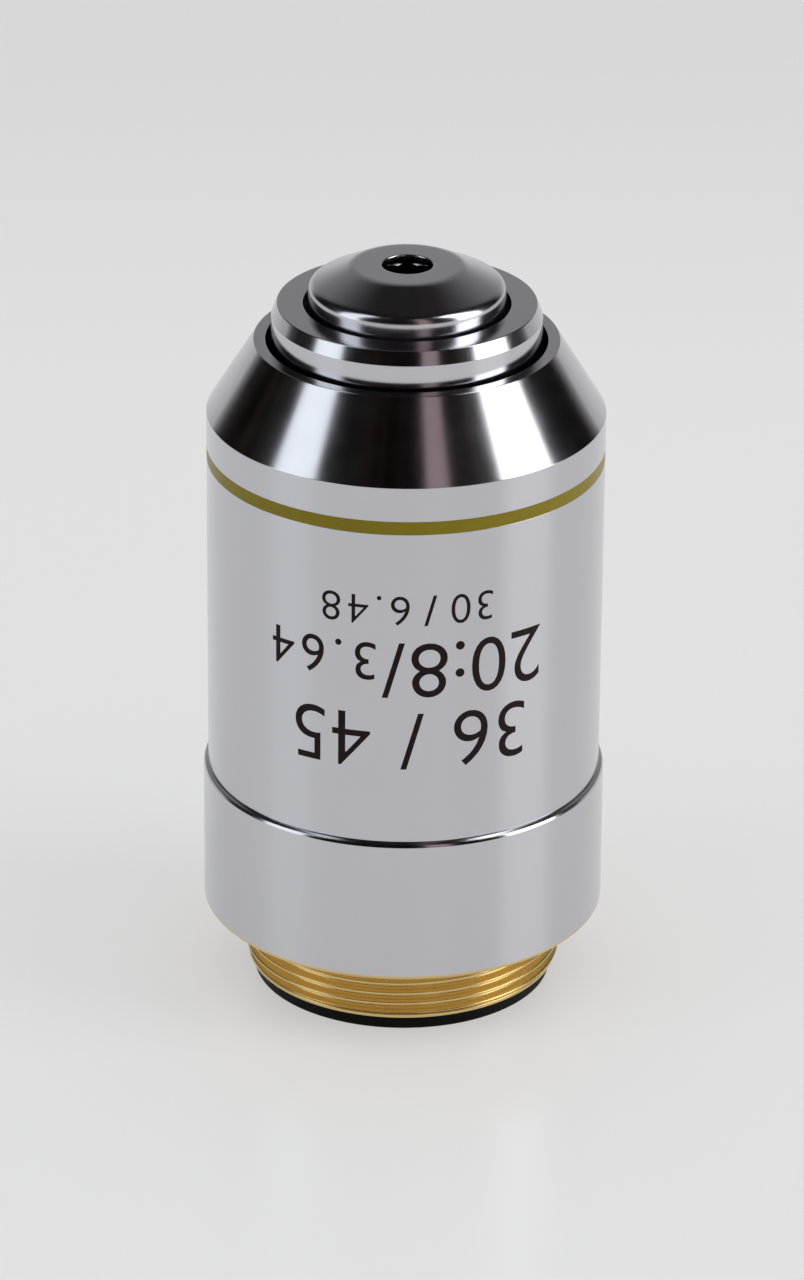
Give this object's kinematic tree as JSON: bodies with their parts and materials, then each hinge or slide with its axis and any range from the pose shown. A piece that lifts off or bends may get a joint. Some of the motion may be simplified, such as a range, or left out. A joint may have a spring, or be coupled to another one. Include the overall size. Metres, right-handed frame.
{
  "type": "microscope objective",
  "caption": "Low-power plan microscope objective: satin sleeve with a polished cone, coloured band, stepped nose with a small front hole, base ring and standard screw thread.",
  "frame": {"origin": "centre of the rear end face, on the surface that the objective stands on", "axes": "+Z along the optical axis from the thread to the nose; -Y is the side with the engraved numbers"},
  "size_m": [0.0256, 0.0256, 0.0485],
  "materials": {
    "black_anodised": "black anodised, satin",
    "bare_brass": "turned free-cutting brass; its base ring is satin chrome plated",
    "satin_chrome": "satin chrome plate on brass, the cone polished",
    "polished_chrome": "polished chrome plate on brass",
    "yellow_enamel": "baked enamel, gloss",
    "inner_brass": "turned brass",
    "blackened_brass": "chemically blackened brass, matt",
    "front_glass": "polished, anti-reflection coated lanthanum crown glass",
    "crown_glass": "polished, anti-reflection coated crown glass",
    "flint_glass": "polished, anti-reflection coated flint glass"
  },
  "bodies": {
    "root": {"rear_stop_ring": "black_anodised", "mount_base": "bare_brass", "outer_sleeve": "satin_chrome", "colour_band": "yellow_enamel", "inner_barrel": "polished_chrome", "parfocal_lock_ring": "inner_brass", "front_cell": "polished_chrome", "front_shim": "inner_brass", "front_lens": "front_glass", "front_lens_ring": "blackened_brass", "second_cell": "blackened_brass", "second_lens": "crown_glass", "second_lens_ring": "blackened_brass", "cell_spacer": "blackened_brass", "middle_cell": "blackened_brass", "middle_crown_lens": "crown_glass", "middle_flint_lens": "flint_glass", "middle_lens_ring": "blackened_brass", "baffled_spacer": "black_anodised", "aperture_stop": "black_anodised", "rear_cell": "blackened_brass", "rear_flint_lens": "flint_glass", "rear_crown_lens": "crown_glass", "rear_lens_ring": "blackened_brass", "stack_ring": "blackened_brass"}
  },
  "joints": []
}
